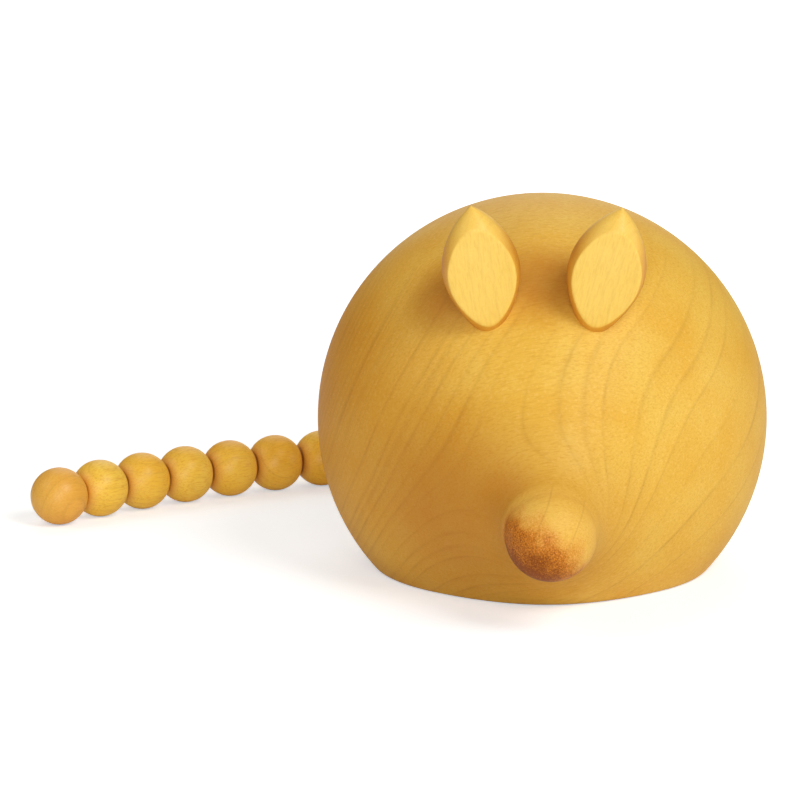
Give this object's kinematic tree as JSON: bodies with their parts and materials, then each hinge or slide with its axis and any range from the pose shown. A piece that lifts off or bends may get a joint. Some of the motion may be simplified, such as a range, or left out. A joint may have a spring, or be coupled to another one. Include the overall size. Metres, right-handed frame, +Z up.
{
  "type": "wooden rat figurine",
  "caption": "Turned wooden rat with a ball-shaped body drawn out to a round snout, pointed faceted ears and a jointed tail of wooden beads on a cord.",
  "frame": {"origin": "middle of the ball's flat base, on the surface that the rat stands on", "axes": "+Z up, the snout points along -Y, +X to the viewer's right when facing the rat"},
  "size_m": [0.1508, 0.1453, 0.0791],
  "materials": {
    "body_wood": "amber-stained birch, satin lacquer",
    "ear_wood": "amber-stained birch, lighter sanded flat, satin lacquer",
    "bead_wood": "amber-stained birch, satin lacquer",
    "tail_cord": "twisted waxed cotton"
  },
  "bodies": {
    "body": {"body": "body_wood", "ear_left": "ear_wood", "ear_right": "ear_wood", "tail_cord_root": "tail_cord"},
    "bead_01": {"tail_bead_01": "bead_wood", "tail_cord_01": "tail_cord"},
    "bead_02": {"tail_bead_02": "bead_wood", "tail_cord_02": "tail_cord"},
    "bead_03": {"tail_bead_03": "bead_wood", "tail_cord_03": "tail_cord"},
    "bead_04": {"tail_bead_04": "bead_wood", "tail_cord_04": "tail_cord"},
    "bead_05": {"tail_bead_05": "bead_wood", "tail_cord_05": "tail_cord"},
    "bead_06": {"tail_bead_06": "bead_wood", "tail_cord_06": "tail_cord"},
    "bead_07": {"tail_bead_07": "bead_wood", "tail_cord_07": "tail_cord"},
    "bead_08": {"tail_bead_08": "bead_wood", "tail_cord_08": "tail_cord"},
    "bead_09": {"tail_bead_09": "bead_wood", "tail_cord_09": "tail_cord"},
    "bead_10": {"tail_bead_10": "bead_wood", "tail_cord_10": "tail_cord"},
    "bead_11": {"tail_bead_11": "bead_wood", "tail_cord_11": "tail_cord"},
    "bead_12": {"tail_bead_12": "bead_wood", "tail_cord_12": "tail_cord"}
  },
  "joints": [
    {"name": "tail_bend_01", "type": "hinge", "parent": "body", "child": "bead_01", "pos_m": [0, 0.03917, 0.006], "axis": [0, 0, 1], "range_deg": [-43, 27]},
    {"name": "tail_bend_02", "type": "hinge", "parent": "bead_01", "child": "bead_02", "pos_m": [-0.00185, 0.05231, 0.006], "axis": [0, 0, 1], "range_deg": [-46.2, 3.8]},
    {"name": "tail_bend_03", "type": "hinge", "parent": "bead_02", "child": "bead_03", "pos_m": [-0.00767, 0.06273, 0.006], "axis": [0, 0, 1], "range_deg": [-46.2, 3.8]},
    {"name": "tail_bend_04", "type": "hinge", "parent": "bead_03", "child": "bead_04", "pos_m": [-0.01687, 0.07034, 0.006], "axis": [0, 0, 1], "range_deg": [-46.2, 3.8]},
    {"name": "tail_bend_05", "type": "hinge", "parent": "bead_04", "child": "bead_05", "pos_m": [-0.0282, 0.07411, 0.006], "axis": [0, 0, 1], "range_deg": [-46.2, 3.8]},
    {"name": "tail_bend_06", "type": "hinge", "parent": "bead_05", "child": "bead_06", "pos_m": [-0.04013, 0.07353, 0.006], "axis": [0, 0, 1], "range_deg": [-46.2, 3.8]},
    {"name": "tail_bend_07", "type": "hinge", "parent": "bead_06", "child": "bead_07", "pos_m": [-0.05062, 0.06886, 0.006], "axis": [0, 0, 1], "range_deg": [-11.7, 4.7]},
    {"name": "tail_bend_08", "type": "hinge", "parent": "bead_07", "child": "bead_08", "pos_m": [-0.06041, 0.06376, 0.006], "axis": [0, 0, 1], "range_deg": [-11.7, 4.7]},
    {"name": "tail_bend_09", "type": "hinge", "parent": "bead_08", "child": "bead_09", "pos_m": [-0.06987, 0.05808, 0.006], "axis": [0, 0, 1], "range_deg": [-11.7, 4.7]},
    {"name": "tail_bend_10", "type": "hinge", "parent": "bead_09", "child": "bead_10", "pos_m": [-0.07896, 0.05183, 0.006], "axis": [0, 0, 1], "range_deg": [-11.7, 4.7]},
    {"name": "tail_bend_11", "type": "hinge", "parent": "bead_10", "child": "bead_11", "pos_m": [-0.08765, 0.04504, 0.006], "axis": [0, 0, 1], "range_deg": [-11.7, 4.7]},
    {"name": "tail_bend_12", "type": "hinge", "parent": "bead_11", "child": "bead_12", "pos_m": [-0.09591, 0.03773, 0.006], "axis": [0, 0, 1], "range_deg": [-11.7, 4.7]}
  ]
}
